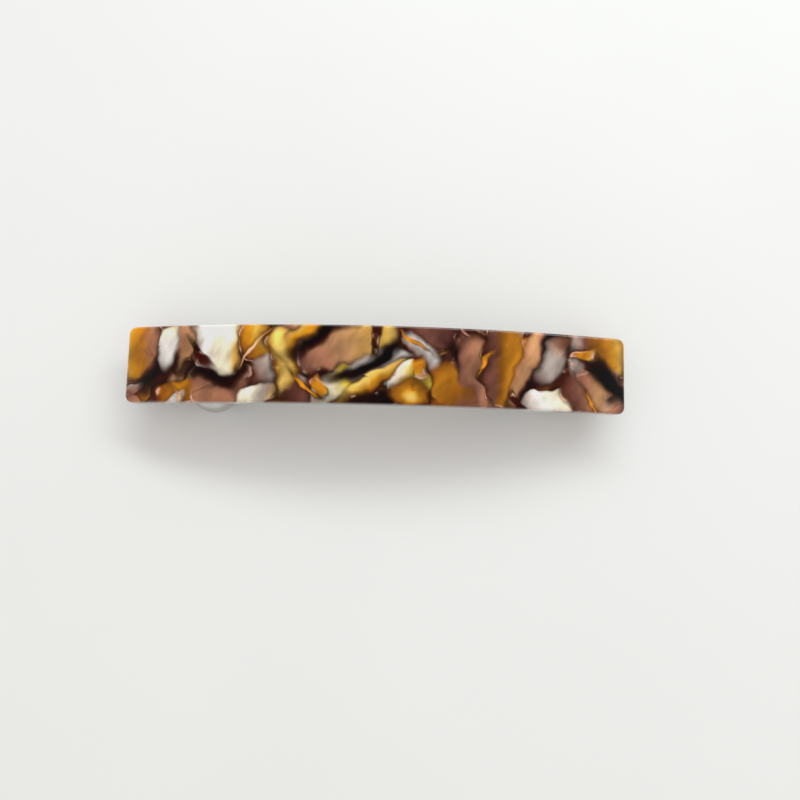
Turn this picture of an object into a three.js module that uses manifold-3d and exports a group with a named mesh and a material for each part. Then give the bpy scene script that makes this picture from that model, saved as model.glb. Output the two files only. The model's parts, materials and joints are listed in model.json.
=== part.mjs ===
// A French-clip barrette: an arched bar of marbled acetate riveted to a sprung sheet-steel clip.
// Units are millimetres, +Z is up, and the decorated face is up. X runs along the bar, with the latch at -X
// and the hinge at +X. The origin is halfway along the clip, on its centre line, on the plane that the closed
// barrette stands on. Every strip is bent about one axis, parallel to Y, far below the barrette.
import * as THREE from "three";
import { mergeVertices } from "three/addons/utils/BufferGeometryUtils.js";
import Module from "manifold-3d";

const wasm = await Module();
wasm.setup();

// ---- Driving dimensions ----

const SEAT_GAP = 0.04; // between two faces that are pressed together

// Bar
const BAR_LENGTH = 80.24; // straight across the arch, before its edges are rounded
const BAR_WIDTH = 12.3;
const BAR_THICKNESS = 2.6;
const BAR_RISE = 6; // how far the middle of the top face stands above its ends
const BAR_CORNER = 1.2;
const BAR_EDGE = 0.4; // rounding of all its long edges
// The bar sits off the clip's centre line: its side is level with the rear pad, and the front pad stands out.
const BAR_OFFSET_Y = 0.45;
const BAR_PITCH_ALONG = 1.5; // between the grid lines of its faces
const BAR_PITCH_ACROSS = 2.5;

// Base plate
const BASE_THICKNESS = 0.55;
const BASE_HALF_WIDTH = 3.2;
const BASE_OVERHANG = 3.4; // past the latch's centre and past the hinge pin
const SEWING_HOLE_RADIUS = 1.1;
const SEWING_SLOT_LENGTH = 7;
const SEWING_SLOT_AT = 10; // slot centre, each side of the middle

// Hinge and latch places, as depths below the base plate's underside
const END_X = 26.5; // pad centre and hinge pin, each side of the middle
const PAD_DEPTH = 3.6;
const PIN_DEPTH = 4.2;
const ARM_DEPTH = 4.25; // the arm's inner face

// Arm
const ARM_THICKNESS = 0.6;
const ARM_HALF_WIDTH = 3.1;
const ARM_HEAD_HALF_WIDTH = 4.2;
const ARM_HEAD_LENGTH = 4.6; // from the latch's centre to the tip, and nearly as far the other way
const ARM_CROWN = 0.45; // how far the middle of its section bulges away from the hair
const ARM_TIP_RADIUS = 2.4;
const ARM_TIP_LIP = 0.5; // how far the tip is turned away from the hair
const ARM_TIP_BLUNT = 0.12; // keeps the rounded tip from narrowing to a point
const ARM_NECK = [-1.4, 2]; // where the head narrows to the strip, from the head's inner end
const ARM_EYE_RAMP = 5; // length over which the strip drops to meet its eye
const ARM_EYE_FLAT = 1.5; // this close to the eye the strip has no crown left
const WINDOW_HALF_WIDTH = 2.55;
const WINDOW_HALF_LENGTH = 2.2;

// Hinge
const PIN_RADIUS = 0.5;
const EAR_HOLE_RADIUS = 0.56;
const KNUCKLE_BORE_RADIUS = 0.58;
const KNUCKLE_RADIUS = 1.18; // the arm's sheet, rolled round the pin
const EAR_INNER_Y = 3.35;
const EAR_THICKNESS = 0.55;
const EAR_FOOT = 3.3; // half its length where it leaves the base plate
const EAR_FOOT_DEPTH = 0.3; // down to here it keeps that length
const EAR_SHOULDER_DEPTH = 0.9; // the curve down to its round end is drawn towards this depth
const EAR_FLARE = 4; // length over which the base plate widens to meet the ears
const PIN_HEAD_RADIUS = 0.85;
const PIN_HEAD_LENGTH = 0.35;

// Latch
const LATCH_THICKNESS = 0.4;
const WEB_HALF_WIDTH = 1.3;
const WEB_OUTWARD = 2.6; // from the latch's centre towards the tip
const WEB_INWARD = 4.6;
const WING_INNER_Y = 1.5;
const WING_STEP = 0.46; // how far a wing's floor is stepped down from the web, to leave room to flex
const WING_HALF_LENGTH = 2.4;
const WING_STEP_START = 0.3; // from its bend line to where its upper face steps down
const WING_STEP_END = 0.8;
const WING_STEP_LEAN = 0.15; // its lower face steps this much sooner
const PRONG_INNER_Y = 1.9;
const PRONG_THICKNESS = 0.5;
const PRONG_HALF_LENGTH = 1.5;
const NOSE_REACH = 0.55; // past the prong's outer face
const NOSE_CLEARANCE = 0.18; // between the arm and the nose's catch face
const PRONG_DEPTH = 6.2;
const NOSE_HEIGHT = 0.4;
const PRONG_TIP = 0.3; // its width at the very end
const PAD_RADIUS = 3.3;
const PAD_RIM_Y = 5;
const PAD_CROWN = 1.6;
const PAD_THICKNESS = 0.45;

// Tension bow
const BOW_THICKNESS = 0.3;
const BOW_HALF_WIDTH = 2.3;
const BOW_REACH = 18.6; // from the middle to where each end lies flat on the base plate
const BOW_CREST = 3.8; // how far the middle stands off its ends
const BOW_FOOT_LENGTH = 4.3; // the riveted end
const BOW_TOE_LENGTH = 1.6; // the sliding end
const BOW_TOE_TAPER = 0.18; // share of its width lost towards the toe
const BOW_TAPER_LENGTH = 6;

// Rivets
const RIVET_RADIUS = 0.5;
const RIVET_HOLE_RADIUS = 0.56;
const RIVET_IN_BAR = 1.7;
const RIVET_HEAD_RADIUS = 1.2;
const RIVET_HEAD_HEIGHT = 0.6;
const RIVET_HEAD_RIM = 0.1; // straight height of the head's edge
const FOOT_RIVET_X = 20.8;

// ---- Values worked out from them ----

const TOP_RADIUS = (BAR_LENGTH ** 2 / 4 + BAR_RISE ** 2) / (2 * BAR_RISE);
const UNDER = TOP_RADIUS - BAR_THICKNESS - SEAT_GAP - BASE_THICKNESS; // radius of the base plate's underside
const END_ANGLE = Math.asin(END_X / (UNDER - PAD_DEPTH));
const END_S = END_ANGLE * UNDER; // the same place, as a length along the underside
// The pads' and the ears' lowest points are set at Z = 0.
const CENTRE_Z = PAD_RADIUS - (UNDER - PAD_DEPTH) * Math.cos(END_ANGLE);
const EAR_RADIUS = PAD_RADIUS + (PAD_DEPTH - PIN_DEPTH) * Math.cos(END_ANGLE);
const NOSE_DEPTH = ARM_DEPTH + ARM_THICKNESS + NOSE_CLEARANCE;
const EAR_OUTER_Y = EAR_INNER_Y + EAR_THICKNESS;
const RIVET_TOP = BASE_THICKNESS + SEAT_GAP + RIVET_IN_BAR; // above the base plate's underside

// ---- Solids ----

const flatMaterial = (color, roughness, metalness) =>
  new THREE.MeshStandardMaterial({ color, roughness, metalness });
const ACETATE = flatMaterial(0x9a6232, 0.12, 0);
const NICKEL = flatMaterial(0xc9c6c0, 0.22, 1);
const SPRING_STEEL = flatMaterial(0xb2b0ac, 0.35, 1);

// A closed geometry as a manifold-3d solid, moved by a matrix.
function solid(geometry, matrix = new THREE.Matrix4()) {
  const bare = geometry.clone().applyMatrix4(matrix);
  bare.deleteAttribute("normal");
  bare.deleteAttribute("uv");
  const merged = mergeVertices(bare, 1e-4);
  const vertProperties = merged.attributes.position.array;
  const triVerts = new Uint32Array(merged.index.array);
  return new wasm.Manifold(new wasm.Mesh({ numProp: 3, vertProperties, triVerts }));
}

// A manifold-3d solid as a named mesh.
function part(name, made, material) {
  const { vertProperties, triVerts } = made.getMesh();
  const geometry = new THREE.BufferGeometry();
  geometry.setAttribute("position", new THREE.BufferAttribute(new Float32Array(vertProperties), 3));
  geometry.setIndex(new THREE.BufferAttribute(new Uint32Array(triVerts), 1));
  geometry.computeVertexNormals();
  const mesh = new THREE.Mesh(geometry, material);
  mesh.name = name;
  return mesh;
}

// The frame at a length s along the base plate's underside: x along it, z out through the bar.
function frameAt(s, depth = 0) {
  const angle = s / UNDER;
  const radius = UNDER - depth;
  const turned = new THREE.Matrix4().makeRotationY(angle);
  return turned.setPosition(radius * Math.sin(angle), 0, CENTRE_Z + radius * Math.cos(angle));
}
const HINGE = frameAt(END_S);
const LATCH = frameAt(-END_S);

// A strip that follows the arch from s0 to s1. halfWidth, depth (of its upper face below the base plate's
// underside) and crown (how far its middle bulges down) are functions of s.
function bentStrip({ s0, s1, thickness, halfWidth, depth, crown = () => 0, steps, across = 1 }) {
  const geometry = new THREE.BoxGeometry(1, 2, 1, steps, across, 1);
  const points = geometry.attributes.position;
  for (let i = 0; i < points.count; i++) {
    const s = s0 + (s1 - s0) * (points.getX(i) + 0.5);
    const v = points.getY(i);
    const below = depth(s) + thickness * (0.5 - points.getZ(i)) + crown(s) * (1 - v * v);
    const radius = UNDER - below;
    const angle = s / UNDER;
    points.setXYZ(i, radius * Math.sin(angle), v * halfWidth(s), CENTRE_Z + radius * Math.cos(angle));
  }
  return solid(geometry);
}

// A box given by its lowest and highest corners, in a local frame.
function block(low, high, matrix) {
  const size = high.map((value, i) => value - low[i]);
  const geometry = new THREE.BoxGeometry(...size);
  geometry.translate(...high.map((value, i) => (value + low[i]) / 2));
  return solid(geometry, matrix);
}

// A round bar along local z (or along y), centred on a local point.
function round(radius, length, matrix, { alongY = false, z = 0, segments = 32 } = {}) {
  const geometry = new THREE.CylinderGeometry(radius, radius, length, segments);
  if (!alongY) geometry.rotateX(Math.PI / 2);
  geometry.translate(0, 0, z);
  return solid(geometry, matrix);
}

// A shape drawn with x along the strip and y downwards, extruded across it from y0 to y1.
function slab(shape, y0, y1, matrix) {
  const settings = { depth: y1 - y0, bevelEnabled: false, curveSegments: 20 };
  const geometry = new THREE.ExtrudeGeometry(shape, settings);
  geometry.rotateX(-Math.PI / 2);
  geometry.translate(0, y0, 0);
  return solid(geometry, matrix);
}

// A profile of [radius, height] points turned about local z.
function turned(profile, matrix, segments = 32) {
  const geometry = new THREE.LatheGeometry(profile.map(([r, h]) => new THREE.Vector2(r, h)), segments);
  geometry.rotateX(Math.PI / 2);
  return solid(geometry, matrix);
}

// Rises smoothly from 0 at a to 1 at b.
function ease(a, b, s) {
  return THREE.MathUtils.smoothstep((s - a) / (b - a), 0, 1);
}

// ---- Pieces ----

// Grid lines from -half to half, closer together where corners and edges are rounded.
function gridLines(half, pitch) {
  const straight = half - BAR_CORNER;
  const count = Math.ceil((2 * straight) / pitch);
  const lines = Array.from({ length: count + 1 }, (_, i) => -straight + (2 * straight * i) / count);
  for (const inset of [(BAR_CORNER + BAR_EDGE) / 2, BAR_EDGE, 0]) {
    lines.unshift(inset - half);
    lines.push(half - inset);
  }
  return lines;
}

// A slab with rounded corners and edges, bent to the arch.
function bar() {
  const halfS = Math.asin(BAR_LENGTH / 2 / TOP_RADIUS) * UNDER;
  const halfY = BAR_WIDTH / 2;
  const halfZ = BAR_THICKNESS / 2;
  const lines = [
    gridLines(halfS, BAR_PITCH_ALONG),
    gridLines(halfY, BAR_PITCH_ACROSS),
    [-halfZ, BAR_EDGE - halfZ, halfZ - BAR_EDGE, halfZ],
  ];
  const geometry = new THREE.BoxGeometry(1, 1, 1, ...lines.map((line) => line.length - 1));
  const points = geometry.attributes.position;
  const edgeInset = BAR_EDGE * (1 - Math.SQRT1_2);
  for (let i = 0; i < points.count; i++) {
    const unit = [points.getX(i), points.getY(i), points.getZ(i)];
    const place = (line, value) => line[Math.round((value + 0.5) * (line.length - 1))];
    let [s, y, z] = unit.map((value, axis) => place(lines[axis], value));
    const outX = Math.max(0, Math.abs(s) - halfS + BAR_CORNER);
    const outY = Math.max(0, Math.abs(y) - halfY + BAR_CORNER);
    let reach = Math.max(outX, outY);
    if (reach > BAR_CORNER - 1e-6 && Math.abs(z) > halfZ - 1e-6) {
      reach -= edgeInset;
      z -= Math.sign(z) * edgeInset;
    }
    const share = reach / (Math.hypot(outX, outY) || 1);
    s -= Math.sign(s) * outX * (1 - share);
    y -= Math.sign(y) * outY * (1 - share);
    const radius = TOP_RADIUS - halfZ + z;
    const angle = s / UNDER;
    points.setXYZ(i, radius * Math.sin(angle), y + BAR_OFFSET_Y, CENTRE_Z + radius * Math.cos(angle));
  }
  let made = solid(geometry);
  for (const frame of [frameAt(FOOT_RIVET_X), LATCH])
    made = made.subtract(round(RIVET_HOLE_RADIUS, 2 * (RIVET_TOP + SEAT_GAP), frame, { segments: 24 }));
  return part("acetate_bar", made, ACETATE);
}

// One hinge ear, from the base plate down around the pin.
function ear(y0, y1) {
  const outline = new THREE.Shape();
  outline.moveTo(-EAR_FOOT, -BASE_THICKNESS / 2);
  outline.lineTo(-EAR_FOOT, EAR_FOOT_DEPTH);
  outline.quadraticCurveTo(-EAR_RADIUS, EAR_SHOULDER_DEPTH, -EAR_RADIUS, PIN_DEPTH);
  outline.absarc(0, PIN_DEPTH, EAR_RADIUS, Math.PI, 0, true);
  outline.quadraticCurveTo(EAR_RADIUS, EAR_SHOULDER_DEPTH, EAR_FOOT, EAR_FOOT_DEPTH);
  outline.lineTo(EAR_FOOT, -BASE_THICKNESS / 2);
  return slab(outline, y0, y1, HINGE);
}

function basePlate() {
  const hingeFlare = (s) => ease(END_S - EAR_FOOT - EAR_FLARE, END_S - EAR_FOOT, s);
  let made = bentStrip({
    s0: -END_S - BASE_OVERHANG,
    s1: END_S + BASE_OVERHANG,
    thickness: BASE_THICKNESS,
    halfWidth: (s) => BASE_HALF_WIDTH + (EAR_OUTER_Y - BASE_HALF_WIDTH) * hingeFlare(s),
    depth: () => -BASE_THICKNESS,
    steps: 60,
  });
  made = made.add(ear(EAR_INNER_Y, EAR_OUTER_Y)).add(ear(-EAR_OUTER_Y, -EAR_INNER_Y));
  const cuts = [
    round(EAR_HOLE_RADIUS, 3 * EAR_OUTER_Y, HINGE, { alongY: true, z: -PIN_DEPTH }),
    round(RIVET_HOLE_RADIUS, 4 * BASE_THICKNESS, frameAt(FOOT_RIVET_X), { segments: 24 }),
    round(RIVET_HOLE_RADIUS, 4 * BASE_THICKNESS, LATCH, { segments: 24 }),
    round(SEWING_HOLE_RADIUS, 4 * BASE_THICKNESS, frameAt(0)),
  ];
  const slotEnd = SEWING_SLOT_LENGTH / 2 - SEWING_HOLE_RADIUS;
  for (const side of [-1, 1]) {
    const frame = frameAt(side * SEWING_SLOT_AT);
    const tall = 2 * BASE_THICKNESS;
    cuts.push(block([-slotEnd, -SEWING_HOLE_RADIUS, -tall], [slotEnd, SEWING_HOLE_RADIUS, tall], frame));
    for (const end of [-1, 1])
      cuts.push(round(SEWING_HOLE_RADIUS, 2 * tall, frameAt(side * SEWING_SLOT_AT + end * slotEnd)));
  }
  for (const cut of cuts) made = made.subtract(cut);
  return part("base_plate", made, NICKEL);
}

// A cambered strip. At one end is a wide head with a window for the latch prongs, at the other an eye for the
// pin.
function clampArm() {
  const tipS = -END_S - ARM_HEAD_LENGTH;
  const headEnd = -END_S + ARM_HEAD_LENGTH;
  const head = (s) => 1 - ease(headEnd + ARM_NECK[0], headEnd + ARM_NECK[1], s);
  const eyeRamp = (s) => ease(END_S - ARM_EYE_RAMP, END_S - PIN_RADIUS, s);
  const tipRound = (s) => {
    const past = Math.max(0, (tipS + ARM_TIP_RADIUS - s) / ARM_TIP_RADIUS);
    return Math.sqrt(Math.max(ARM_TIP_BLUNT, 1 - past ** 2));
  };
  const eyeDepth = PIN_DEPTH + KNUCKLE_RADIUS - ARM_THICKNESS;
  let made = bentStrip({
    s0: tipS,
    s1: END_S,
    thickness: ARM_THICKNESS,
    halfWidth: (s) => (ARM_HALF_WIDTH + (ARM_HEAD_HALF_WIDTH - ARM_HALF_WIDTH) * head(s)) * tipRound(s),
    depth: (s) => {
      const lip = ARM_TIP_LIP * ease(tipS + ARM_TIP_RADIUS, tipS, s);
      return ARM_DEPTH + lip + (eyeDepth - ARM_DEPTH) * eyeRamp(s);
    },
    crown: (s) => ARM_CROWN * (1 - head(s)) * (1 - ease(END_S - ARM_EYE_RAMP, END_S - ARM_EYE_FLAT, s)),
    steps: 96,
    across: 6,
  });
  const eyeAt = { alongY: true, z: -PIN_DEPTH };
  made = made.add(round(KNUCKLE_RADIUS, 2 * ARM_HALF_WIDTH, HINGE, eyeAt));
  made = made.subtract(round(KNUCKLE_BORE_RADIUS, 3 * ARM_HALF_WIDTH, HINGE, eyeAt));
  const window = block(
    [-WINDOW_HALF_LENGTH, -WINDOW_HALF_WIDTH, -ARM_DEPTH - 2 * ARM_THICKNESS],
    [WINDOW_HALF_LENGTH, WINDOW_HALF_WIDTH, -ARM_DEPTH + ARM_THICKNESS],
    LATCH,
  );
  return part("clamp_arm", made.subtract(window), NICKEL);
}

// The pin, with both ends peened over outside the ears.
function hingePin() {
  const half = EAR_OUTER_Y + SEAT_GAP;
  const flare = PIN_HEAD_RADIUS * 0.6;
  const profile = [
    [0, -half - PIN_HEAD_LENGTH],
    [flare, -half - PIN_HEAD_LENGTH],
    [PIN_HEAD_RADIUS, -half - PIN_HEAD_LENGTH / 2],
    [PIN_HEAD_RADIUS, -half],
    [PIN_RADIUS, -half],
    [PIN_RADIUS, half],
    [PIN_HEAD_RADIUS, half],
    [PIN_HEAD_RADIUS, half + PIN_HEAD_LENGTH / 2],
    [flare, half + PIN_HEAD_LENGTH],
    [0, half + PIN_HEAD_LENGTH],
  ];
  const along = new THREE.Matrix4().makeRotationX(-Math.PI / 2).setPosition(0, 0, -PIN_DEPTH);
  return part("hinge_pin", turned(profile, HINGE.clone().multiply(along)), SPRING_STEEL);
}

// A leaf spring riveted at its hinge end, free to slide on the base plate at its latch end.
function tensionBow() {
  const wave = (s) => Math.cos((Math.PI / 2) * Math.min(1, Math.abs(s) / BOW_REACH)) ** 2;
  const taper = (s) => ease(-BOW_REACH + BOW_TAPER_LENGTH, -BOW_REACH - BOW_TOE_LENGTH, s);
  const made = bentStrip({
    s0: -BOW_REACH - BOW_TOE_LENGTH,
    s1: BOW_REACH + BOW_FOOT_LENGTH,
    thickness: BOW_THICKNESS,
    halfWidth: (s) => BOW_HALF_WIDTH * (1 - BOW_TOE_TAPER * taper(s)),
    depth: (s) => SEAT_GAP + BOW_CREST * wave(s),
    steps: 64,
  });
  const hole = round(RIVET_HOLE_RADIUS, 8 * BOW_THICKNESS, frameAt(FOOT_RIVET_X), { segments: 24 });
  return part("tension_bow", made.subtract(hole), SPRING_STEEL);
}

// A domed rivet. seat is how far its head's flat side lies below the base plate's underside.
function rivet(name, s, seat) {
  const profile = [[0, -seat - RIVET_HEAD_HEIGHT]];
  const dome = RIVET_HEAD_HEIGHT - RIVET_HEAD_RIM;
  for (const turn of [0.25, 0.5, 0.75, 1]) {
    const angle = (turn * Math.PI) / 2;
    const height = -seat - RIVET_HEAD_RIM - dome * Math.cos(angle);
    profile.push([RIVET_HEAD_RADIUS * Math.sin(angle), height]);
  }
  profile.push([RIVET_HEAD_RADIUS, -seat], [RIVET_RADIUS, -seat], [RIVET_RADIUS, RIVET_TOP], [0, RIVET_TOP]);
  return part(name, turned(profile, frameAt(s)), SPRING_STEEL);
}

// The latch spring's middle, clamped under the base plate by the latch rivet.
function latchWeb() {
  const made = bentStrip({
    s0: -END_S - WEB_OUTWARD,
    s1: -END_S + WEB_INWARD,
    thickness: LATCH_THICKNESS,
    halfWidth: () => WEB_HALF_WIDTH,
    depth: () => SEAT_GAP,
    steps: 12,
  });
  const hole = round(RIVET_HOLE_RADIUS, 6 * LATCH_THICKNESS, LATCH, { segments: 24 });
  return part("latch_web", made.subtract(hole), SPRING_STEEL);
}

// A run of points across the strip, [y, z], extruded along it from -half to half.
function rail(points, half) {
  const shape = new THREE.Shape(points.map(([y, z]) => new THREE.Vector2(y, z)));
  const geometry = new THREE.ExtrudeGeometry(shape, { depth: 2 * half, bevelEnabled: false });
  geometry.applyMatrix4(new THREE.Matrix4().set(0, 0, 1, -half, 1, 0, 0, 0, 0, 1, 0, 0, 0, 0, 0, 1));
  return solid(geometry);
}

// The wing on +Y, in the latch's frame: a stepped floor beside the web, a prong with a nose that hooks the
// arm's window, and a hollow domed finger pad.
function latchWing() {
  const top = -SEAT_GAP;
  const low = top - WING_STEP;
  const floorEnd = PAD_RIM_Y + PAD_THICKNESS / 2;
  const floor = rail(
    [
      [WING_INNER_Y, top],
      [WING_INNER_Y + WING_STEP_START, top],
      [WING_INNER_Y + WING_STEP_END, low],
      [floorEnd, low],
      [floorEnd, low - LATCH_THICKNESS],
      [WING_INNER_Y + WING_STEP_END - WING_STEP_LEAN, low - LATCH_THICKNESS],
      [WING_INNER_Y + WING_STEP_START - WING_STEP_LEAN, top - LATCH_THICKNESS],
      [WING_INNER_Y, top - LATCH_THICKNESS],
    ],
    WING_HALF_LENGTH,
  );
  const prongOuterY = PRONG_INNER_Y + PRONG_THICKNESS;
  const noseY = prongOuterY + NOSE_REACH;
  const prong = rail(
    [
      [PRONG_INNER_Y, low - LATCH_THICKNESS / 2],
      [PRONG_INNER_Y, -PRONG_DEPTH],
      [PRONG_INNER_Y + PRONG_TIP, -PRONG_DEPTH],
      [noseY, -NOSE_DEPTH - NOSE_HEIGHT],
      [noseY, -NOSE_DEPTH],
      [prongOuterY, -NOSE_DEPTH],
      [prongOuterY, low - LATCH_THICKNESS / 2],
    ],
    PRONG_HALF_LENGTH,
  );
  const arcSteps = 9;
  const arcPoint = (radius, crown, share) => {
    const sphere = (radius ** 2 + crown ** 2) / (2 * crown);
    const angle = share * Math.asin(radius / sphere);
    return [sphere * Math.sin(angle), sphere * Math.cos(angle) - sphere + crown];
  };
  const dome = [];
  for (let i = 0; i <= arcSteps; i++) dome.push(arcPoint(PAD_RADIUS, PAD_CROWN, 1 - i / arcSteps));
  for (let i = 0; i <= arcSteps; i++)
    dome.push(arcPoint(PAD_RADIUS - PAD_THICKNESS, PAD_CROWN - PAD_THICKNESS, i / arcSteps));
  dome.push(dome[0]);
  const outward = new THREE.Matrix4().makeRotationX(-Math.PI / 2).setPosition(0, PAD_RIM_Y, -PAD_DEPTH);
  return floor.add(prong).add(turned(dome, outward, 40));
}

const barrette = new THREE.Group();
const footSeat = 2 * SEAT_GAP + BOW_THICKNESS;
const webSeat = 2 * SEAT_GAP + LATCH_THICKNESS;
barrette.add(bar(), basePlate(), clampArm(), hingePin(), tensionBow());
barrette.add(rivet("hinge_end_rivet", FOOT_RIVET_X, footSeat), rivet("latch_end_rivet", -END_S, webSeat));
barrette.add(latchWeb());

const latch = new THREE.Group();
latch.applyMatrix4(LATCH);
const wing = latchWing();
const rear = part("latch_wing_rear", wing, SPRING_STEEL);
const front = part("latch_wing_front", wing, SPRING_STEEL);
front.rotation.z = Math.PI;
latch.add(rear, front);
barrette.add(latch);

export default barrette;
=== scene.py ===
"""The looks of a French-clip barrette: a marbled acetate bar on a plated, sprung steel clip."""

import json
import math
import random
from collections import namedtuple

import bmesh
import bpy
from mathutils import Matrix, Vector

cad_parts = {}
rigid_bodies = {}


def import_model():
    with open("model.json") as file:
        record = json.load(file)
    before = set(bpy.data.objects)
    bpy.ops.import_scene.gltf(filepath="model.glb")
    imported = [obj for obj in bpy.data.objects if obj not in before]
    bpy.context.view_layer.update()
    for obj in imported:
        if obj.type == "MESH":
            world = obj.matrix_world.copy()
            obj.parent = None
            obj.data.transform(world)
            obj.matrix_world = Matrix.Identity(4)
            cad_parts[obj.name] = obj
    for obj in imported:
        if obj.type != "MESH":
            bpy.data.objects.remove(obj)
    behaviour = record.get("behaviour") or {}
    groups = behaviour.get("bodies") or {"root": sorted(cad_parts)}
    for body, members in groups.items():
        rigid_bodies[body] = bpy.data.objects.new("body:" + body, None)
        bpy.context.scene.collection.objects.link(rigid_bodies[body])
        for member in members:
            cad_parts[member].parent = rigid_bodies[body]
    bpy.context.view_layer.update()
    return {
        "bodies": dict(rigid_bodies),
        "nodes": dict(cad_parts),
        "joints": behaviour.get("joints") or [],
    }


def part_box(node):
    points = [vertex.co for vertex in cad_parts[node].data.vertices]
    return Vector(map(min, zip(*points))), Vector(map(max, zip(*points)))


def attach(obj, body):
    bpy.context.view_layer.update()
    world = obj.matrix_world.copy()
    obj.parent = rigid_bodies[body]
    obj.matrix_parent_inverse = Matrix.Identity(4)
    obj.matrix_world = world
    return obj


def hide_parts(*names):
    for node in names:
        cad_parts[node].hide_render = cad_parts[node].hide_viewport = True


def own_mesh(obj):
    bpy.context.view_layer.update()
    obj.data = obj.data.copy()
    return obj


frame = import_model()

MM = 0.001

# The bar, as in the CAD
BAR_THICKNESS = 2.6 * MM
BAR_RISE = 6 * MM  # how far the middle of its top stands above its ends
BAR_CORNER = 1.2 * MM
BAR_EDGE = 0.4 * MM  # rounding of its long edges

# How finely the bar is drawn
BAR_PITCH = 1 * MM  # between its grid lines along it
BAR_PITCH_ACROSS = 1.2 * MM
BAR_EDGE_STEP = 15  # between the grid lines round its edges, in degrees
BAR_CORNER_LINES = (0.85 * MM, 0.6 * MM)  # two more lines, this far in, that round its corners
RIVET_CLEARANCE = 0.06 * MM  # between a rivet and its hole in the bar
RIVET_SEGMENTS = 32
RIVET_END = 0.1 * MM  # points this near a rivet's tip belong to its end face

# Edges. The angles are in degrees.
SHARP_ANGLE = 38  # faces that meet at more than this keep a crisp edge
SHEET_EDGE = 0.05 * MM  # how far the stamped edges are rounded
SHEET_EDGE_SEGMENTS = 2
EDGE_ANGLE = 50  # an edge is rounded if its faces meet at more than this
FLAT_ANGLE = 0.5  # faces that meet at less than this are joined into one
WELD_DISTANCE = 0.0001 * MM  # points nearer than this are joined into one

# The bow
BOW_BLADE_REACH = 18.6 * MM  # the sprung blade ends here, and its foot and toe begin

# The camera, with its angles in degrees
CAMERA_ELEVATION = 82.75
CAMERA_ROLL = 1.4
CAMERA_DISTANCE = 122.5 * MM
CAMERA_ANGLE = 53.0
CAMERA_AIM = (4 * MM, -5 * MM)  # where it looks, at the height of the bar's top

# The room
FLOOR_REACH = 3  # from its middle to its sides
FLOOR_COLOUR = (0.83, 0.84, 0.83, 1)
FLOOR_ROUGHNESS = 0.55
ROOM_COLOUR = (1, 0.965, 0.945, 1)
ROOM_BRIGHTNESS = 0.8
MIRRORED_COLOUR = (0.97, 0.99, 1, 1)  # the room as shiny faces reflect it
MIRRORED_LOW = 0.9  # its brightness towards the horizon
MIRRORED_HIGH = 0.04  # and overhead
WINDOW_PLACE = (0.16, 0.44, 0.42)
WINDOW_SIZE = (0.8, 0.16)
WINDOW_POWER = 2.2
WINDOW_COLOUR = (0.93, 1, 1)

low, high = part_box("acetate_bar")
bar_middle = (Vector(low) + Vector(high)) / 2


# ---------------------------------------------------------------- meshes
def smooth_faces(mesh):
    """Shades a mesh smooth wherever its faces meet at a shallow angle."""
    for face in mesh.polygons:
        face.use_smooth = True
    mesh.set_sharp_from_angle(angle=math.radians(SHARP_ANGLE))


def new_object(name, bm):
    """Makes a smooth object from a bmesh."""
    mesh = bpy.data.meshes.new(name)
    bmesh.ops.recalc_face_normals(bm, faces=bm.faces)
    bm.to_mesh(mesh)
    bm.free()
    smooth_faces(mesh)
    obj = bpy.data.objects.new(name, mesh)
    bpy.context.scene.collection.objects.link(obj)
    return obj


def apply_modifiers(obj):
    """Turns the object's modifiers into plain, smooth mesh."""
    bpy.context.view_layer.update()
    evaluated = obj.evaluated_get(bpy.context.evaluated_depsgraph_get())
    mesh = bpy.data.meshes.new_from_object(evaluated)
    obj.modifiers.clear()
    obj.data = mesh
    smooth_faces(mesh)


def copied(node):
    """A bmesh of one CAD node, welded and with its flat faces joined."""
    bm = bmesh.new()
    bm.from_mesh(frame["nodes"][node].data)
    bmesh.ops.remove_doubles(bm, verts=bm.verts, dist=WELD_DISTANCE)
    bmesh.ops.dissolve_limit(bm, angle_limit=math.radians(FLAT_ANGLE), verts=bm.verts, edges=bm.edges)
    return bm


def finished(node, body, material, name=None, bm=None):
    """A copy of a CAD node with its stamped edges rounded off. It stands for that node."""
    obj = new_object(name or node + "_finished", bm or copied(node))
    bevel = obj.modifiers.new("edges", "BEVEL")
    bevel.width = SHEET_EDGE
    bevel.segments = SHEET_EDGE_SEGMENTS
    bevel.limit_method = "ANGLE"
    bevel.angle_limit = math.radians(EDGE_ANGLE)
    apply_modifiers(obj)
    obj.data.materials.clear()
    obj.data.materials.append(material)
    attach(obj, body)
    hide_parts(node)
    return obj


# ---------------------------------------------------------------- the bar
def top_arc(half):
    """The radius of the bar's top face and half its chord, from half the bar's overall length.

    The overall length is that of the rounded bar, so the chord of the unrounded face is a little longer.
    """
    radius = (half**2 + BAR_RISE**2) / (2 * BAR_RISE)
    half *= radius / (radius - BAR_EDGE)
    return (half**2 + BAR_RISE**2) / (2 * BAR_RISE), half


TOP_RADIUS, HALF_CHORD = top_arc((high[0] - low[0]) / 2)
ARCH_CENTRE_Z = high[2] - TOP_RADIUS


def grid_lines(half, pitch):
    """Grid lines across one direction of the bar: even in the middle, close together at its edges."""
    straight = half - BAR_CORNER
    count = math.ceil(2 * straight / pitch)
    lines = [-straight + 2 * straight * i / count for i in range(count + 1)]
    turns = [BAR_EDGE * (1 - math.sin(math.radians(a))) for a in range(0, 91, BAR_EDGE_STEP)]
    for inset in [*BAR_CORNER_LINES, *turns]:
        lines.insert(0, inset - half)
        lines.append(half - inset)
    return lines


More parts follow.
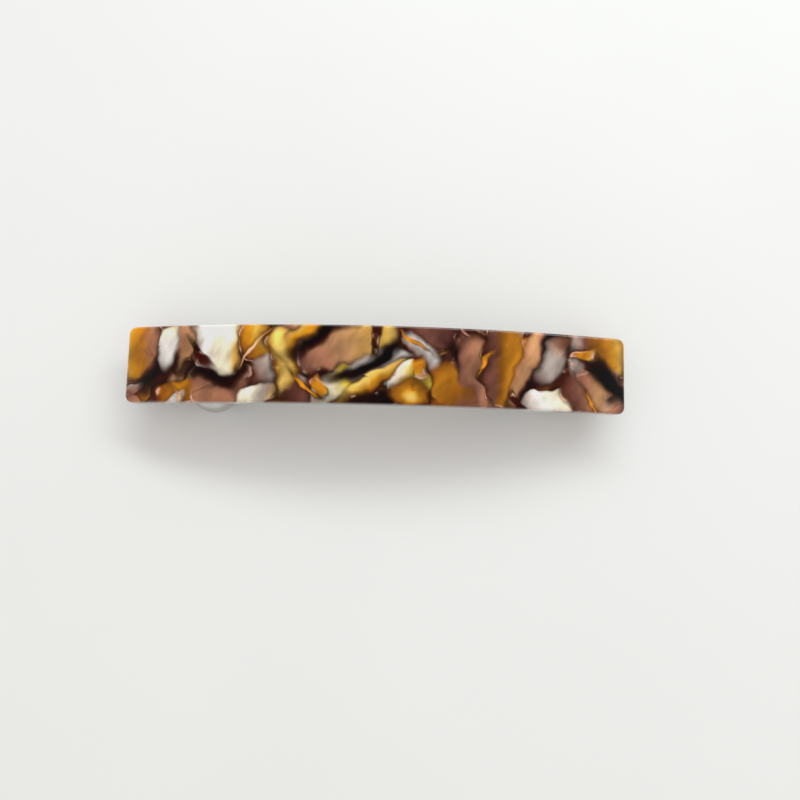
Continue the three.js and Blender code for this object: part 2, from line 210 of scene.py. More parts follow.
def bar_point(s, y, side, half_s, half_y):
    """A point of the bar's top (side 1) or bottom (side -1), with rounded corners and edges."""
    out_s = max(0, abs(s) - half_s + BAR_CORNER)
    out_y = max(0, abs(y) - half_y + BAR_CORNER)
    reach = max(out_s, out_y)
    share = reach / (math.hypot(out_s, out_y) or 1)
    s -= math.copysign(out_s * (1 - share), s)
    y -= math.copysign(out_y * (1 - share), y)
    over = max(0, reach - BAR_CORNER + BAR_EDGE)
    drop = BAR_EDGE - math.sqrt(max(0, BAR_EDGE**2 - over**2))
    radius = TOP_RADIUS - BAR_THICKNESS / 2 + side * (BAR_THICKNESS / 2 - drop)
    angle = s / TOP_RADIUS
    return Vector((radius * math.sin(angle), y + bar_middle.y, ARCH_CENTRE_Z + radius * math.cos(angle)))


def bar_shape():
    """The arched bar, as a top sheet and a bottom sheet joined by its side wall."""
    half_s = TOP_RADIUS * math.asin(HALF_CHORD / TOP_RADIUS)
    half_y = (high[1] - low[1]) / 2
    s_lines = grid_lines(half_s, BAR_PITCH)
    y_lines = grid_lines(half_y, BAR_PITCH_ACROSS)
    bm = bmesh.new()
    sheets = {}
    for side in (1, -1):
        grid = [[bm.verts.new(bar_point(s, y, side, half_s, half_y)) for y in y_lines] for s in s_lines]
        sheets[side] = grid
        for a, b in zip(grid, grid[1:]):
            for j in range(len(y_lines) - 1):
                bm.faces.new((a[j], b[j], b[j + 1], a[j + 1]))
    rims = [rim(sheets[side]) for side in (1, -1)]
    for i in range(len(rims[0])):
        bm.faces.new((rims[0][i - 1], rims[0][i], rims[1][i], rims[1][i - 1]))
    return bm


def rim(grid):
    """The vertices round the edge of a grid, in order."""
    across = len(grid[0]) - 1
    along = len(grid) - 1
    return (
        [grid[i][0] for i in range(along)]
        + [grid[along][j] for j in range(across)]
        + [grid[i][across] for i in range(along, 0, -1)]
        + [grid[0][j] for j in range(across, 0, -1)]
    )


def drill(bar, rivet):
    """Cuts the hole that a rivet sits in, a little wider and deeper than the rivet."""
    bottom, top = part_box(rivet)
    centre = (Vector(bottom) + Vector(top)) / 2
    lean = Vector((centre.x, 0, centre.z - ARCH_CENTRE_Z))
    rivet_mesh = frame["nodes"][rivet].data
    axis = lean.normalized()
    heights = [axis.dot(v.co) for v in rivet_mesh.vertices]
    end = [v.co for v, h in zip(rivet_mesh.vertices, heights) if h > max(heights) - RIVET_END]
    tip = sum(end, Vector()) / len(end)
    radius = max((v - tip - axis * axis.dot(v - tip)).length for v in end) + RIVET_CLEARANCE
    bm = bmesh.new()
    place = Matrix.Translation(tip) @ axis.to_track_quat("Z", "Y").to_matrix().to_4x4()
    depth = 2 * (max(heights) - min(heights))
    size = {"radius1": radius, "radius2": radius, "depth": depth}
    bmesh.ops.create_cone(bm, cap_ends=True, segments=RIVET_SEGMENTS, matrix=place, **size)
    bmesh.ops.translate(bm, verts=bm.verts, vec=axis * (2 * RIVET_CLEARANCE - depth / 2))
    cutter = new_object("cutter", bm)
    cut = bar.modifiers.new("hole", "BOOLEAN")
    cut.object = cutter
    cut.operation = "DIFFERENCE"
    cut.solver = "EXACT"
    apply_modifiers(bar)
    bpy.data.objects.remove(cutter)


# ---------------------------------------------------------------- shader nodes
class Nodes:
    """Short ways to add shader nodes to one tree and to join them."""

    def __init__(self, tree):
        self.tree = tree

    def add(self, kind, inputs=(), **settings):
        node = self.tree.nodes.new("ShaderNode" + kind)
        for key, value in settings.items():
            setattr(node, key, value)
        for i, value in dict(inputs).items():
            self.put(node.inputs[i], value)
        return node

    def put(self, socket, value):
        if isinstance(value, bpy.types.NodeSocket):
            self.tree.links.new(value, socket)
        else:
            socket.default_value = value

    def math(self, operation, a, b=0.0, c=0.0):
        return self.add("Math", {0: a, 1: b, 2: c}, operation=operation).outputs[0]

    def vector(self, operation, a, b=(0, 0, 0)):
        node = self.add("VectorMath", {0: a, 1: b}, operation=operation)
        return node.outputs["Value" if operation in ("DOT_PRODUCT", "LENGTH") else "Vector"]

    def scaled(self, a, scale):
        return self.add("VectorMath", {0: a, "Scale": scale}, operation="SCALE").outputs[0]

    def placed(self, point, turn=0.0, size=(1, 1, 1)):
        """The point as seen from a frame that is turned, in degrees, and sized."""
        settings = {"Vector": point, "Rotation": (0, 0, math.radians(turn)), "Scale": size}
        return self.add("Mapping", settings, vector_type="TEXTURE").outputs[0]

    def split(self, point):
        return self.add("SeparateXYZ", {0: point}).outputs

    def joined(self, x, y, z=0.0):
        return self.add("CombineXYZ", {0: x, 1: y, 2: z}).outputs[0]

    def noise(self, point, scale, detail=2.0, roughness=0.5):
        settings = {"Vector": point, "Scale": scale, "Detail": detail, "Roughness": roughness}
        return self.add("TexNoise", settings)

    def voronoi(self, point, scale, feature="F1"):
        return self.add("TexVoronoi", {"Vector": point, "Scale": scale}, feature=feature)

    def shift(self, texture):
        """A texture's colour as a movement, which is as often one way as the other."""
        return self.vector("SUBTRACT", texture.outputs["Color"], (0.5, 0.5, 0.5))

    def smooth(self, value, start, end, low=0.0, high=1.0):
        """Eases from low to high as the value goes from start to end."""
        settings = {"Value": value, "From Min": start, "From Max": end, "To Min": low, "To Max": high}
        return self.add("MapRange", settings, interpolation_type="SMOOTHSTEP").outputs[0]

    def ramp(self, value, colours, start=0):
        """Runs through evenly spaced palette colours as the value goes from start to 1."""
        if start:
            value = self.add("MapRange", {0: value, "From Min": start}).outputs[0]
        node = self.add("ValToRGB", {0: value})
        stops = node.color_ramp.elements
        names = colours.split()
        if len(names) == 1:
            names *= 2
        while len(stops) < len(names):
            stops.new(0.5)
        for i, name in enumerate(names):
            stops[i].position = i / (len(names) - 1)
            stops[i].color = linear(PALETTE[name])
        return node.outputs["Color"]

    def mix(self, share, a, b, blend="MIX"):
        settings = {"Factor": share, 6: a, 7: b}
        node = self.add("Mix", data_type="RGBA", blend_type=blend)
        for key, value in settings.items():
            self.put(node.inputs[key], value)
        return node.outputs[2]


class Material(Nodes):
    """A new material and its nodes."""

    def __init__(self, name):
        self.material = bpy.data.materials.new(name)
        self.material.use_nodes = True
        super().__init__(self.material.node_tree)
        self.shader = self.tree.nodes["Principled BSDF"]

    def finish(self, **looks):
        """Joins looks such as Base_Color to the shader, and hands back the material."""
        for name, value in looks.items():
            self.put(self.shader.inputs[name.replace("_", " ")], value)
        return self.material


def linear(colour):
    """An sRGB colour as linear light."""
    return tuple(c / 12.92 if c < 0.04 else ((c + 0.055) / 1.055) ** 2.4 for c in colour) + (1,)


# ---------------------------------------------------------------- marbled acetate
PALETTE = {
    "black": (0.03, 0.01, 0.01),
    "ember": (0.13, 0.03, 0.02),
    "wine": (0.24, 0.05, 0.04),
    "umber": (0.27, 0.11, 0.06),
    "brown": (0.46, 0.24, 0.08),
    "caramel": (0.60, 0.39, 0.18),
    "amber": (0.73, 0.48, 0.17),
    "orange": (0.85, 0.55, 0.20),
    "gold": (0.84, 0.67, 0.40),
    "honey": (0.93, 0.79, 0.50),
    "yellow": (0.98, 0.87, 0.46),
    "olive": (0.72, 0.54, 0.18),
    "cream": (0.98, 0.94, 0.84),
    "pearl": (0.94, 0.92, 0.90),
    "silver": (0.66, 0.61, 0.58),
    "blush": (0.88, 0.70, 0.62),
    "rose": (0.68, 0.49, 0.40),
    "tan": (0.72, 0.56, 0.42),
    "mauve": (0.46, 0.31, 0.27),
    "plum": (0.31, 0.17, 0.16),
}

# Lengths in the pattern are millimetres, and a pattern's scale is how often it changes in one.
SHEET_LEAN = (0.5, 0.35)  # how far it leans along and across the bar for each millimetre down
DRIFT_SCALE = 0.12  # the slow bends of the whole sheet
DRIFT_REACH = 5.0
CURL_SCALE = 0.4  # the small ones
CURL_REACH = 1.6
BREAK_SCALE = 0.28  # the cells that it is broken into here and there
BREAK_REACH = 0.6
CHIP_SCALE = 0.3
CHIP_CONTRAST = 1.6
SEAM_REACH = 0.12  # how far the widest dark seam reaches into a chip, as a share of it

SHADED_SIDE = Vector((0.5, -0.87))  # flakes are painted darker towards this side: painted shade, as if they folded down
PAINTED_FOLD_SHADE = 0.9
PAINTED_FOLD_HIGHLIGHT = 1.5  # and painted lighter towards the other side: a painted highlight
SHADE_REACH = 0.9  # how far a flake's painted shadow reaches past its side
SOFTEST = 0.9  # the widest that a flake's faded edge may be, as a share of the flake's width
RIM_WIDTH = 0.2  # the painted highlight along a flake's edge, from its middle to where it has faded
FLAKES_PER_GROUP = 10
HAIR = 1e-6
MAIN_TURN = 60  # random flakes lean about this much, to one side or the other
TURN_SPREAD = 30
GOLDEN = (math.sqrt(5) - 1) / 2  # steps of this share spread points evenly

FLOW_REACH = 2  # how far the drift moves the veils and the silk
VEIL_TURN = 60
VEIL_SIZE = (5, 2.2, 1)
PAINTED_VEIL_DARKEST = 0.68
PAINTED_VEIL_LIGHTEST = 1.1
SILK_TURN = 62
SILK_SIZE = (5, 0.4, 1)
SILK_CONTRAST = 0.015
RICHNESS = 1.15  # how much more colourful the finished sheet is than its palette
WHITEST = 0.84  # no part of the pattern is lighter than this

SHEET_ROUGHNESS = (0.28, 0.45)  # under the polish, from the darkest parts to the pearly ones
PEARL_METALLIC = 0.08
POLISH_ROUGHNESS = (0.02, 0.07)  # from clear to rubbed
POLISH_WAVE = 0.15

# One flake of the sheet: a bent, tapered oval. x and y are shares of the bar's half length and half width.
# long and wide are millimetres, and turn is in degrees. bend bows it sideways, taper makes its far end wider,
# and power 4 squares it off. Its colours run along it, across it or out to its rim. soft is the width of its
# faded edge, in millimetres, and shade is how dark its painted shadow makes what lies below it.
Flake = namedtuple("Flake", "x y long wide turn colours run bend taper power soft shade")
Flake.__new__.__defaults__ = ("along", 0, 0, 2, 0.8, 0.7)

# The broad patches, from one end of the bar to the other. They set its broad light and dark areas.
PATCHES = [
    Flake(-0.95, 0.5, 9, 9, 0, "honey gold amber rose umber", power=4, soft=1.5),
    Flake(-0.85, 0, 9, 4, 45, "umber black ember", "across", soft=1.2),
    Flake(-0.8, 0.5, 7, 4, 60, "silver pearl cream tan", bend=0.5),
    Flake(-0.75, -0.75, 8, 4, 0, "brown amber caramel mauve", power=4),
    Flake(-0.75, 0.5, 8, 2, 80, "tan rose", "across"),
    Flake(-0.6, -0.5, 9, 8, 0, "rose rose mauve umber", "across", power=4, soft=1.2, shade=0),
    Flake(-0.6, 0, 10, 4, 10, "ember black black", "across", bend=-1, soft=1.2),
    Flake(-0.6, 0.5, 9, 8, 0, "silver pearl cream cream gold mauve", power=4),
    Flake(-0.45, 0.5, 9, 4, -60, "wine amber gold caramel", "across", power=4),
    Flake(-0.4, -0.25, 5, 4, 30, "mauve silver pearl", soft=1.5),
    Flake(-0.45, -0.75, 6, 3, 0, "cream cream silver gold", power=4),
    Flake(-0.35, 0, 10, 4, 90, "caramel gold honey brown", "across", taper=0.3, power=4),
    Flake(-0.25, 0.75, 9, 4, 40, "mauve orange gold", "across", soft=1),
    Flake(-0.25, -0.75, 8, 5, 0, "plum mauve umber", soft=1.5, shade=0),
    Flake(-0.1, 0.5, 16, 6, 15, "mauve rose tan gold honey", power=4, soft=1),
    Flake(-0.2, 0.75, 11, 2, 30, "wine black black", "across", soft=1),
    Flake(-0.15, -0.5, 8, 4, 30, "cream cream yellow olive", power=4),
    Flake(0, 0, 9, 4, 20, "mauve silver pearl silver", "across", soft=1.2),
    Flake(-0.05, 0.25, 14, 2, 30, "ember black black", bend=-2, soft=0.8),
    Flake(0, -0.5, 12, 3, 30, "brown amber gold honey", "across"),
    Flake(0, -1, 8, 3, 0, "ember black", power=4),
    Flake(0.15, -0.25, 5, 5, -90, "pearl honey yellow yellow", "across", taper=0.5, power=4),
    Flake(0.15, -0.75, 6, 4, 0, "honey amber caramel brown", "rim"),
    Flake(0.2, 0.75, 8, 4, 0, "wine mauve plum", power=4, soft=1.2),
    Flake(0.2, 0.25, 9, 3, -45, "mauve silver pearl silver", "across", soft=1),
    Flake(0.3, -0.5, 8, 5, -60, "brown amber caramel mauve", soft=1, shade=0),
    Flake(0.35, -0.25, 11, 2, -65, "ember black black", bend=1, soft=0.8, shade=0),
    Flake(0.4, -0.25, 12, 4, -80, "mauve rose tan", "across", soft=1, shade=0),
    Flake(0.45, 0.25, 11, 2, 90, "umber black plum", "across", soft=1),
    Flake(0.5, 0, 7, 14, 0, "umber mauve caramel amber amber caramel", power=4, soft=1.5, shade=0),
    Flake(0.6, 0, 15, 4, 70, "mauve rose tan rose", "across", soft=1),
    Flake(0.65, 0, 15, 2, 70, "ember black black", soft=1),
    Flake(0.7, 0.25, 8, 4, 60, "plum silver silver rose", soft=1),
    Flake(0.7, -0.75, 7, 3, 15, "silver pearl cream tan", power=4),
    Flake(0.9, 0.5, 9, 9, 0, "silver mauve caramel amber gold caramel", power=4, soft=1.5),
    Flake(0.85, -0.5, 8, 6, 0, "umber mauve rose tan blush", power=4, soft=1.2, shade=0),
    Flake(0.9, -0.25, 13, 2, -50, "ember black black", bend=0.5, soft=0.8),
]

# The flakes under and on the patches are drawn at random. Each kind has its colours, its shortest and longest
# flake, its width as a share of its length, its softness and its shade. Creases are the narrow ones on top.
Kind = namedtuple("Kind", "colours shortest longest wide soft shade")
UNDER = [
    Kind("silver pearl cream", 3, 5, 0.6, 0.8, 0.5),
    Kind("cream honey gold", 3, 5, 0.5, 0.8, 0.5),
    Kind("amber orange caramel", 3, 6, 0.5, 0.8, 0.5),
    Kind("mauve rose tan", 3, 6, 0.6, 0.8, 0.3),
    Kind("wine umber ember", 3, 6, 0.4, 1.0, 0.0),
]
OVER = [
    Kind("mauve tan blush", 2, 4, 0.5, 0.6, 0.4),
    Kind("umber amber orange gold", 2, 4, 0.45, 0.7, 0.4),
    Kind("mauve silver pearl silver", 2, 4, 0.5, 0.8, 0.4),
    Kind("ember wine umber", 3, 5, 0.3, 0.9, 0.0),
    Kind("caramel honey yellow gold", 2, 4, 0.45, 0.6, 0.4),
]
CREASES = [
    Kind("mauve tan blush tan", 4, 7, 0.07, 0.3, 0.4),
    Kind("umber amber orange amber", 4, 7, 0.09, 0.4, 0.4),
]
UNDER_COUNT = 24
OVER_COUNT = 7
CREASE_COUNT = 6
SEED = 12


def scattered(kinds, count, draw, power=4):
    """Random flakes of some kinds, spread evenly over the bar."""
    flakes = []
    for i in range(count):
        kind = draw.choice(kinds)
        long = draw.uniform(kind.shortest, kind.longest)
        x = -1 + 2 * (i + draw.random()) / count
        y = -1 + 2 * (i * GOLDEN % 1)
        turn = draw.gauss(MAIN_TURN, TURN_SPREAD) * draw.choice((1, -1))
        bend = draw.uniform(-0.1, 0.1) * long
        taper = draw.uniform(0, 0.4)
        shape = (x, y, long, long * kind.wide, turn, kind.colours, "along", bend, taper, power)
        flakes.append(Flake(*shape, kind.soft, kind.shade))
    return flakes


def flake_layer(n, point, below, glint, flake):
    """Lays one flake of the pattern over the colour below it. The point is (x, y, 1).

    The edge of a squared-off flake gets a painted highlight wherever glint is high.
    """
    half_long, half_wide = flake.long / 2, flake.wide / 2
    turn = math.radians(flake.turn)
    along = Vector((math.cos(turn), math.sin(turn))) / half_long
    across = Vector((-math.sin(turn), math.cos(turn))) / half_wide
    middle = Vector((flake.x * (high[0] - low[0]) / 2, flake.y * (high[1] - low[1]) / 2)) / MM
    bend = flake.bend / half_wide
    u = n.vector("DOT_PRODUCT", point, (along.x, along.y, -along.dot(middle)))
    v = n.vector("DOT_PRODUCT", point, (across.x, across.y, -across.dot(middle) - bend))
    u_squared = n.math("MULTIPLY", u, u)
    if bend:
        v = n.math("MULTIPLY_ADD", u_squared, bend, v)
    if flake.taper:
        v = n.math("DIVIDE", v, n.math("MULTIPLY_ADD", u, flake.taper, 1.0))
    reach = u_squared
    other = v
    if flake.power == 4:
        reach = n.math("MULTIPLY", u_squared, u_squared)
        other = n.math("MULTIPLY", v, v)
    reach = n.math("MULTIPLY_ADD", other, other, reach)
    soft = min(SOFTEST, flake.soft / flake.wide)
    # A painted shadow: the flake darkens what lies just past its side.
    shade = n.smooth(reach, 1.0, (1 + SHADE_REACH / half_wide) ** flake.power, flake.shade, 0.0)
    below = n.mix(shade, below, linear(PALETTE["ember"]))
    mask = n.smooth(reach, (1 - soft) ** flake.power, (1 + soft) ** flake.power, 1.0, 0.0)
    if flake.run == "rim":
        colour = n.ramp(reach, flake.colours)
    else:
        colour = n.ramp({"along": u, "across": v}[flake.run], flake.colours, -1)
    # Painted shade on the side of each flake that faces SHADED_SIDE, and a painted highlight on its other
    # side.
    if flake.shade:
        away = SHADED_SIDE / min(half_long, half_wide * 1.5)
        side = n.vector("DOT_PRODUCT", point, (away.x, away.y, -away.dot(middle)))
        rounding = n.smooth(reach, 0.15, 1.1, 0.0, PAINTED_FOLD_SHADE)
        painted_shade_share = n.math("MULTIPLY", n.smooth(side, 0.0, 1.0), rounding)
        painted_highlight_scale = n.smooth(side, -1.0, 0.1, PAINTED_FOLD_HIGHLIGHT, 1.0)
        colour = n.mix(painted_shade_share, n.scaled(colour, painted_highlight_scale), linear(PALETTE["ember"]))
    colour = n.mix(mask, below, colour)
    if flake.power != 4:
        return colour
    # A painted highlight along the edge of a squared-off flake.
    off_edge = n.math("ABSOLUTE", n.math("SUBTRACT", reach, 1.0))
    rim = n.smooth(off_edge, 0.0, flake.power * RIM_WIDTH / half_wide, 1.0, 0.0)
    return n.mix(n.math("MULTIPLY", rim, glint), colour, linear(PALETTE["blush"]))


def flake_group(name, flakes):
    """A node group that lays some flakes, one over the other.

    Its points hang on the colour below by a hair's breadth. So the renderer has to finish one group before it
    starts the next, and never holds more than one group's values at once.
    """
    tree = bpy.data.node_groups.new(name, "ShaderNodeTree")
    tree.interface.new_socket("Point", in_out="INPUT", socket_type="NodeSocketVector")
    tree.interface.new_socket("Below", in_out="INPUT", socket_type="NodeSocketColor")
    tree.interface.new_socket("Glint", in_out="INPUT", socket_type="NodeSocketFloat")
    tree.interface.new_socket("Colour", in_out="OUTPUT", socket_type="NodeSocketColor")
    n = Nodes(tree)
    given = tree.nodes.new("NodeGroupInput").outputs
    point = n.vector("ADD", given["Point"], n.scaled(given["Below"], HAIR))
    colour = given["Below"]
    for flake in flakes:
        colour = flake_layer(n, point, colour, given["Glint"], flake)
    n.put(tree.nodes.new("NodeGroupOutput").inputs["Colour"], colour)
    return tree


def chip_ground(n, point):
    """The small chips between the flakes: cells that each run from one colour to another."""
    cell = n.voronoi(point, CHIP_SCALE)
    middle = n.scaled(cell.outputs["Position"], CHIP_SCALE)
    away = n.vector("SUBTRACT", n.scaled(point, CHIP_SCALE), middle)
    slope = n.math("MULTIPLY_ADD", n.vector("DOT_PRODUCT", away, n.shift(cell)), CHIP_CONTRAST, 0.5)
    warm = n.ramp(slope, "umber brown caramel gold blush")
    cool = n.ramp(slope, "plum mauve rose silver")
    pick = n.smooth(n.split(cell.outputs["Color"])[1], 0.4, 0.6)
    colour = n.mix(pick, warm, cool)
    edge = n.voronoi(point, CHIP_SCALE, "DISTANCE_TO_EDGE").outputs["Distance"]
    width = n.smooth(n.noise(point, 0.35).outputs[0], 0.35, 0.7, 0.0, SEAM_REACH)
    seam = n.smooth(edge, 0.0, n.math("ADD", width, 0.01), 1.0, 0.0)
    return n.mix(seam, colour, linear(PALETTE["umber"]))


def pattern_plane(n, point, flat, drift):
    """Where a point lies in the pattern, as (x, y, 1), once the sheet has drifted, curled and broken."""
    curl = n.shift(n.noise(point, CURL_SCALE, 1))
    broken = n.smooth(n.noise(point, 0.17, 1).outputs[0], 0.5, 0.65, 0.0, BREAK_REACH)
    bend = n.vector("ADD", n.scaled(drift, DRIFT_REACH), n.scaled(curl, CURL_REACH))
    jump = n.scaled(n.shift(n.voronoi(point, BREAK_SCALE)), broken)
    moved = n.vector("ADD", n.vector("ADD", flat, bend), jump)
    return n.joined(*n.split(moved)[:2], 1.0)


def laid_flakes(n, warped, colour, glint):
    """The colour once all the flakes lie over it, some of them at random and some as patches."""
    draw = random.Random(SEED)
    flakes = scattered(UNDER, UNDER_COUNT, draw) + PATCHES
    flakes += scattered(OVER, OVER_COUNT, draw)
    flakes += scattered(CREASES, CREASE_COUNT, draw, power=2)
    for first in range(0, len(flakes), FLAKES_PER_GROUP):
        tree = flake_group(f"flakes_{first}", flakes[first:first + FLAKES_PER_GROUP])
        group = n.add("Group", {"Point": warped, "Below": colour, "Glint": glint}, node_tree=tree)
        colour = group.outputs["Colour"]
    return colour


def clouds(n, flow):
    """Soft veils of painted shade and sheen through the sheet, and faint silky streaks of pearl pigment, as a
    brightness.
    """
    painted_veil = n.noise(n.placed(flow, VEIL_TURN, VEIL_SIZE), 1.0, 2).outputs[0]
    silk = n.noise(n.placed(flow, SILK_TURN, SILK_SIZE), 1.0, 2).outputs[0]
    # The veils are painted shade and painted sheen.
    painted_veil = n.smooth(painted_veil, 0.3, 0.68, PAINTED_VEIL_DARKEST, PAINTED_VEIL_LIGHTEST)
    silk = n.smooth(silk, 0.3, 0.72, 1 - SILK_CONTRAST, 1 + SILK_CONTRAST)
    return n.math("MULTIPLY", painted_veil, silk)


def marbled_acetate():
    """Flakes of pearly and clear acetate pressed into one sheet, sawn and polished to a high gloss."""
    n = Material("marbled_acetate")
    place = n.add("NewGeometry").outputs["Position"]
    centred = n.vector("SUBTRACT", place, (bar_middle.x, bar_middle.y, ARCH_CENTRE_Z))
    x, y, z = n.split(n.scaled(centred, 1 / MM))
    depth = n.math("SUBTRACT", TOP_RADIUS / MM, n.vector("LENGTH", n.joined(x, 0.0, z)))
    lean_x, lean_y = SHEET_LEAN
    x = n.math("MULTIPLY_ADD", depth, lean_x, x)
    y = n.math("MULTIPLY_ADD", depth, lean_y, y)
    point = n.joined(x, y, depth)
    flat = n.joined(x, y)

    drift = n.shift(n.noise(point, DRIFT_SCALE, 1))
    warped = pattern_plane(n, point, flat, drift)
    # glint is where the painted highlights on flake edges show.
    glint = n.smooth(n.noise(point, 0.4, 2).outputs[0], 0.48, 0.66)
    colour = laid_flakes(n, warped, chip_ground(n, warped), glint)
    light = clouds(n, n.vector("ADD", flat, n.scaled(drift, FLOW_REACH)))
    colour = n.mix(1.0, colour, n.joined(light, light, light), "MULTIPLY")
    colour = n.add("HueSaturation", {"Saturation": RICHNESS, "Color": colour}).outputs[0]
    colour = n.vector("MINIMUM", colour, (WHITEST, WHITEST, WHITEST))

    brightness = n.add("RGBToBW", {0: colour}).outputs[0]
    rub = n.noise(point, 2.5, 4, 0.6).outputs[0]
    wave = n.noise(point, 0.5, 1).outputs[0]
    bump = n.add("Bump", {"Height": wave, "Strength": POLISH_WAVE, "Distance": 0.05 * MM})
    return n.finish(
        Base_Color=colour,
        Roughness=n.smooth(brightness, 0.0, 0.6, *SHEET_ROUGHNESS),
        Metallic=n.smooth(brightness, 0.2, 0.7, 0.0, PEARL_METALLIC),
        Specular_IOR_Level=0.25,
        Coat_Weight=1.0,
        Coat_Roughness=n.smooth(rub, 0.35, 0.75, *POLISH_ROUGHNESS),
        Coat_Normal=bump.outputs[0],
    )


# ---------------------------------------------------------------- steel
def steel(name, colour, roughness, streak):
    """Plated or spring steel: fine rolling streaks and faint cloudiness."""
    n = Material(name)
    place = n.scaled(n.add("NewGeometry").outputs["Position"], 1 / MM)
    grain = n.noise(n.placed(place, size=(6, 0.08, 0.08)), 1.0, 3, 0.6).outputs[0]
    cloud = n.noise(place, 0.35, 4, 0.6).outputs[0]
    dull = n.smooth(cloud, 0.3, 0.75, roughness * 0.75, roughness * 1.4)
    tone = n.smooth(n.math("ADD", grain, cloud), 0.7, 1.3, 0.86, 1.04)
    tint = n.mix(1.0, linear(colour), n.joined(tone, tone, tone), "MULTIPLY")
    bump = n.add("Bump", {"Height": grain, "Strength": streak, "Distance": 0.02 * MM})
    shine = n.math("MULTIPLY_ADD", grain, streak, dull)
    return n.finish(Base_Color=tint, Metallic=1.0, Roughness=shine, Normal=bump.outputs[0])


# ---------------------------------------------------------------- the bow, in three pieces
def bow_part(name, start, end, material, ends_z=None):
    """The stretch of the tension bow between two places along the bar.

    With ends_z, the height of its ends, it gets a mesh of its own.
    """
    bm = copied("tension_bow")
    for x, side in ((start, -1), (end, 1)):
        if x is None:
            continue
        geometry = bm.verts[:] + bm.edges[:] + bm.faces[:]
        plane = {"plane_co": (x, 0, 0), "plane_no": (side, 0, 0)}
        cut = bmesh.ops.bisect_plane(bm, geom=geometry, clear_outer=True, **plane)
        edges = [e for e in cut["geom_cut"] if isinstance(e, bmesh.types.BMEdge)]
        bmesh.ops.contextual_create(bm, geom=edges)
    part = finished("tension_bow", "bar", material, name, bm)
    if ends_z is not None:
        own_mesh(part)


# ---------------------------------------------------------------- what stands around it
def floor_material():
    n = Material("pale_floor")
    place = n.scaled(n.add("NewGeometry").outputs["Position"], 1 / MM)
    tone = n.smooth(n.noise(place, 0.02, 2).outputs[0], 0.3, 0.7, 0.985, 1.0)
    tint = n.mix(1.0, FLOOR_COLOUR, n.joined(tone, tone, tone), "MULTIPLY")
    return n.finish(Base_Color=tint, Roughness=FLOOR_ROUGHNESS)


def floor():
    """The floor. It sinks as the arm swings down, so that the open arm never reaches through it."""
    bm = bmesh.new()
    bmesh.ops.create_grid(bm, x_segments=1, y_segments=1, size=FLOOR_REACH)
    obj = new_object("floor", bm)
    obj.data.materials.append(floor_material())
    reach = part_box("clamp_arm")[1][0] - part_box("clamp_arm")[0][0]
    driver = obj.driver_add("location", 2).driver
    turn = driver.variables.new()
    turn.name = "turn"
    turn.type = "TRANSFORMS"
    turn.targets[0].id = frame["bodies"]["arm"]
    turn.targets[0].transform_type = "ROT_Y"
    turn.targets[0].rotation_mode = "SWING_TWIST_Y"
    turn.targets[0].transform_space = "WORLD_SPACE"
    quarter = round(math.pi / 2, 2)
    driver.expression = f"-{reach:.4f} * abs(sin(turn)) if abs(turn) < {quarter} else -{reach:.4f}"


def window():
    """The one lamp: a long, soft window behind the barrette, facing it."""
    data = bpy.data.lights.new("window", "AREA")
    data.shape = "RECTANGLE"
    data.size, data.size_y = WINDOW_SIZE
    data.energy = WINDOW_POWER
    data.color = WINDOW_COLOUR
    obj = bpy.data.objects.new("window", data)
    obj.location = WINDOW_PLACE
    obj.rotation_euler = (-Vector(WINDOW_PLACE)).to_track_quat("-Z", "Y").to_euler()
    bpy.context.scene.collection.objects.link(obj)


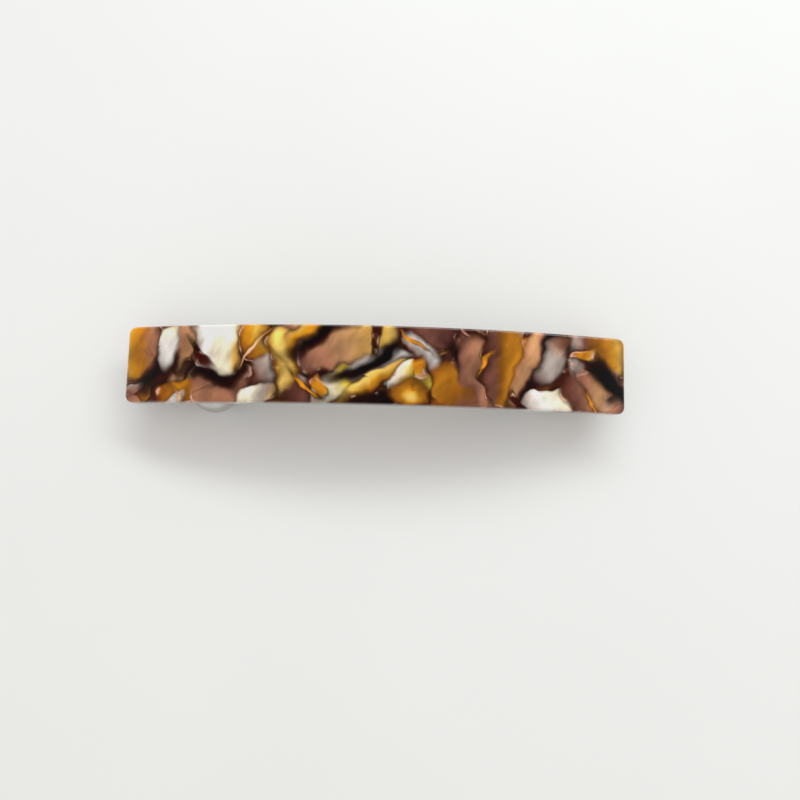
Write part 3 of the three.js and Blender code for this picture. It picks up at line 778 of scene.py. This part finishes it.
def studio():
    """A pale, even room. Shiny faces reflect it as bright towards the horizon and dim overhead."""
    world = bpy.data.worlds.new("studio")
    world.use_nodes = True
    n = Nodes(world.node_tree)
    output = world.node_tree.nodes["World Output"]
    room = world.node_tree.nodes["Background"]
    n.put(room.inputs["Color"], ROOM_COLOUR)
    n.put(room.inputs["Strength"], ROOM_BRIGHTNESS)
    height = n.split(n.add("TexCoord").outputs["Generated"])[2]
    brightness = n.smooth(height, 0.25, 0.75, MIRRORED_LOW, MIRRORED_HIGH)
    mirrored = n.add("Background", {"Color": MIRRORED_COLOUR, "Strength": brightness})
    glossy = n.add("LightPath").outputs["Is Glossy Ray"]
    both = n.add("MixShader", {0: glossy, 1: room.outputs[0], 2: mirrored.outputs[0]})
    n.put(output.inputs["Surface"], both.outputs[0])
    bpy.context.scene.world = world
    bpy.context.scene.view_settings.view_transform = "Standard"


def camera():
    """Looks down at the bar from almost straight above."""
    data = bpy.data.cameras.new("camera")
    data.angle = math.radians(CAMERA_ANGLE)
    data.clip_start = 1 * MM
    obj = bpy.data.objects.new("camera", data)
    aim = Vector((*CAMERA_AIM, high[2]))
    elevation = math.radians(CAMERA_ELEVATION)
    back = Vector((0, -math.cos(elevation), math.sin(elevation)))
    turn = (-back).to_track_quat("-Z", "Y").to_matrix().to_4x4()
    roll = Matrix.Rotation(math.radians(CAMERA_ROLL), 4, "Z")
    obj.matrix_world = Matrix.Translation(aim + back * CAMERA_DISTANCE) @ turn @ roll
    bpy.context.scene.collection.objects.link(obj)
    bpy.context.scene.camera = obj


# ---------------------------------------------------------------- the whole thing
bar = new_object("polished_bar", bar_shape())
for rivet in ("hinge_end_rivet", "latch_end_rivet"):
    drill(bar, rivet)
bar.data.materials.append(marbled_acetate())
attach(bar, "bar")
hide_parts("acetate_bar")

plated = steel("plated_steel", colour=(0.86, 0.85, 0.82), roughness=0.16, streak=0.06)
for node in ("base_plate", "hinge_pin", "hinge_end_rivet", "latch_end_rivet"):
    finished(node, "bar", plated)
finished("clamp_arm", "arm", plated)

spring = steel("spring_steel", colour=(0.80, 0.79, 0.77), roughness=0.16, streak=0.1)
finished("latch_web", "bar", spring)
for side in ("rear", "front"):
    finished(f"latch_wing_{side}", f"wing_{side}", spring)

bow_joint = next(j for j in frame["joints"] if j["name"] == "bow_press")
bow_ends_z = bow_joint["deforming_nodes"][0]["fixed_end_z_m"]
bow_part("bow_blade", -BOW_BLADE_REACH, BOW_BLADE_REACH, spring, bow_ends_z)
bow_part("bow_foot", BOW_BLADE_REACH, None, spring)
bow_part("bow_toe", None, -BOW_BLADE_REACH, spring)

floor()
studio()
window()
camera()
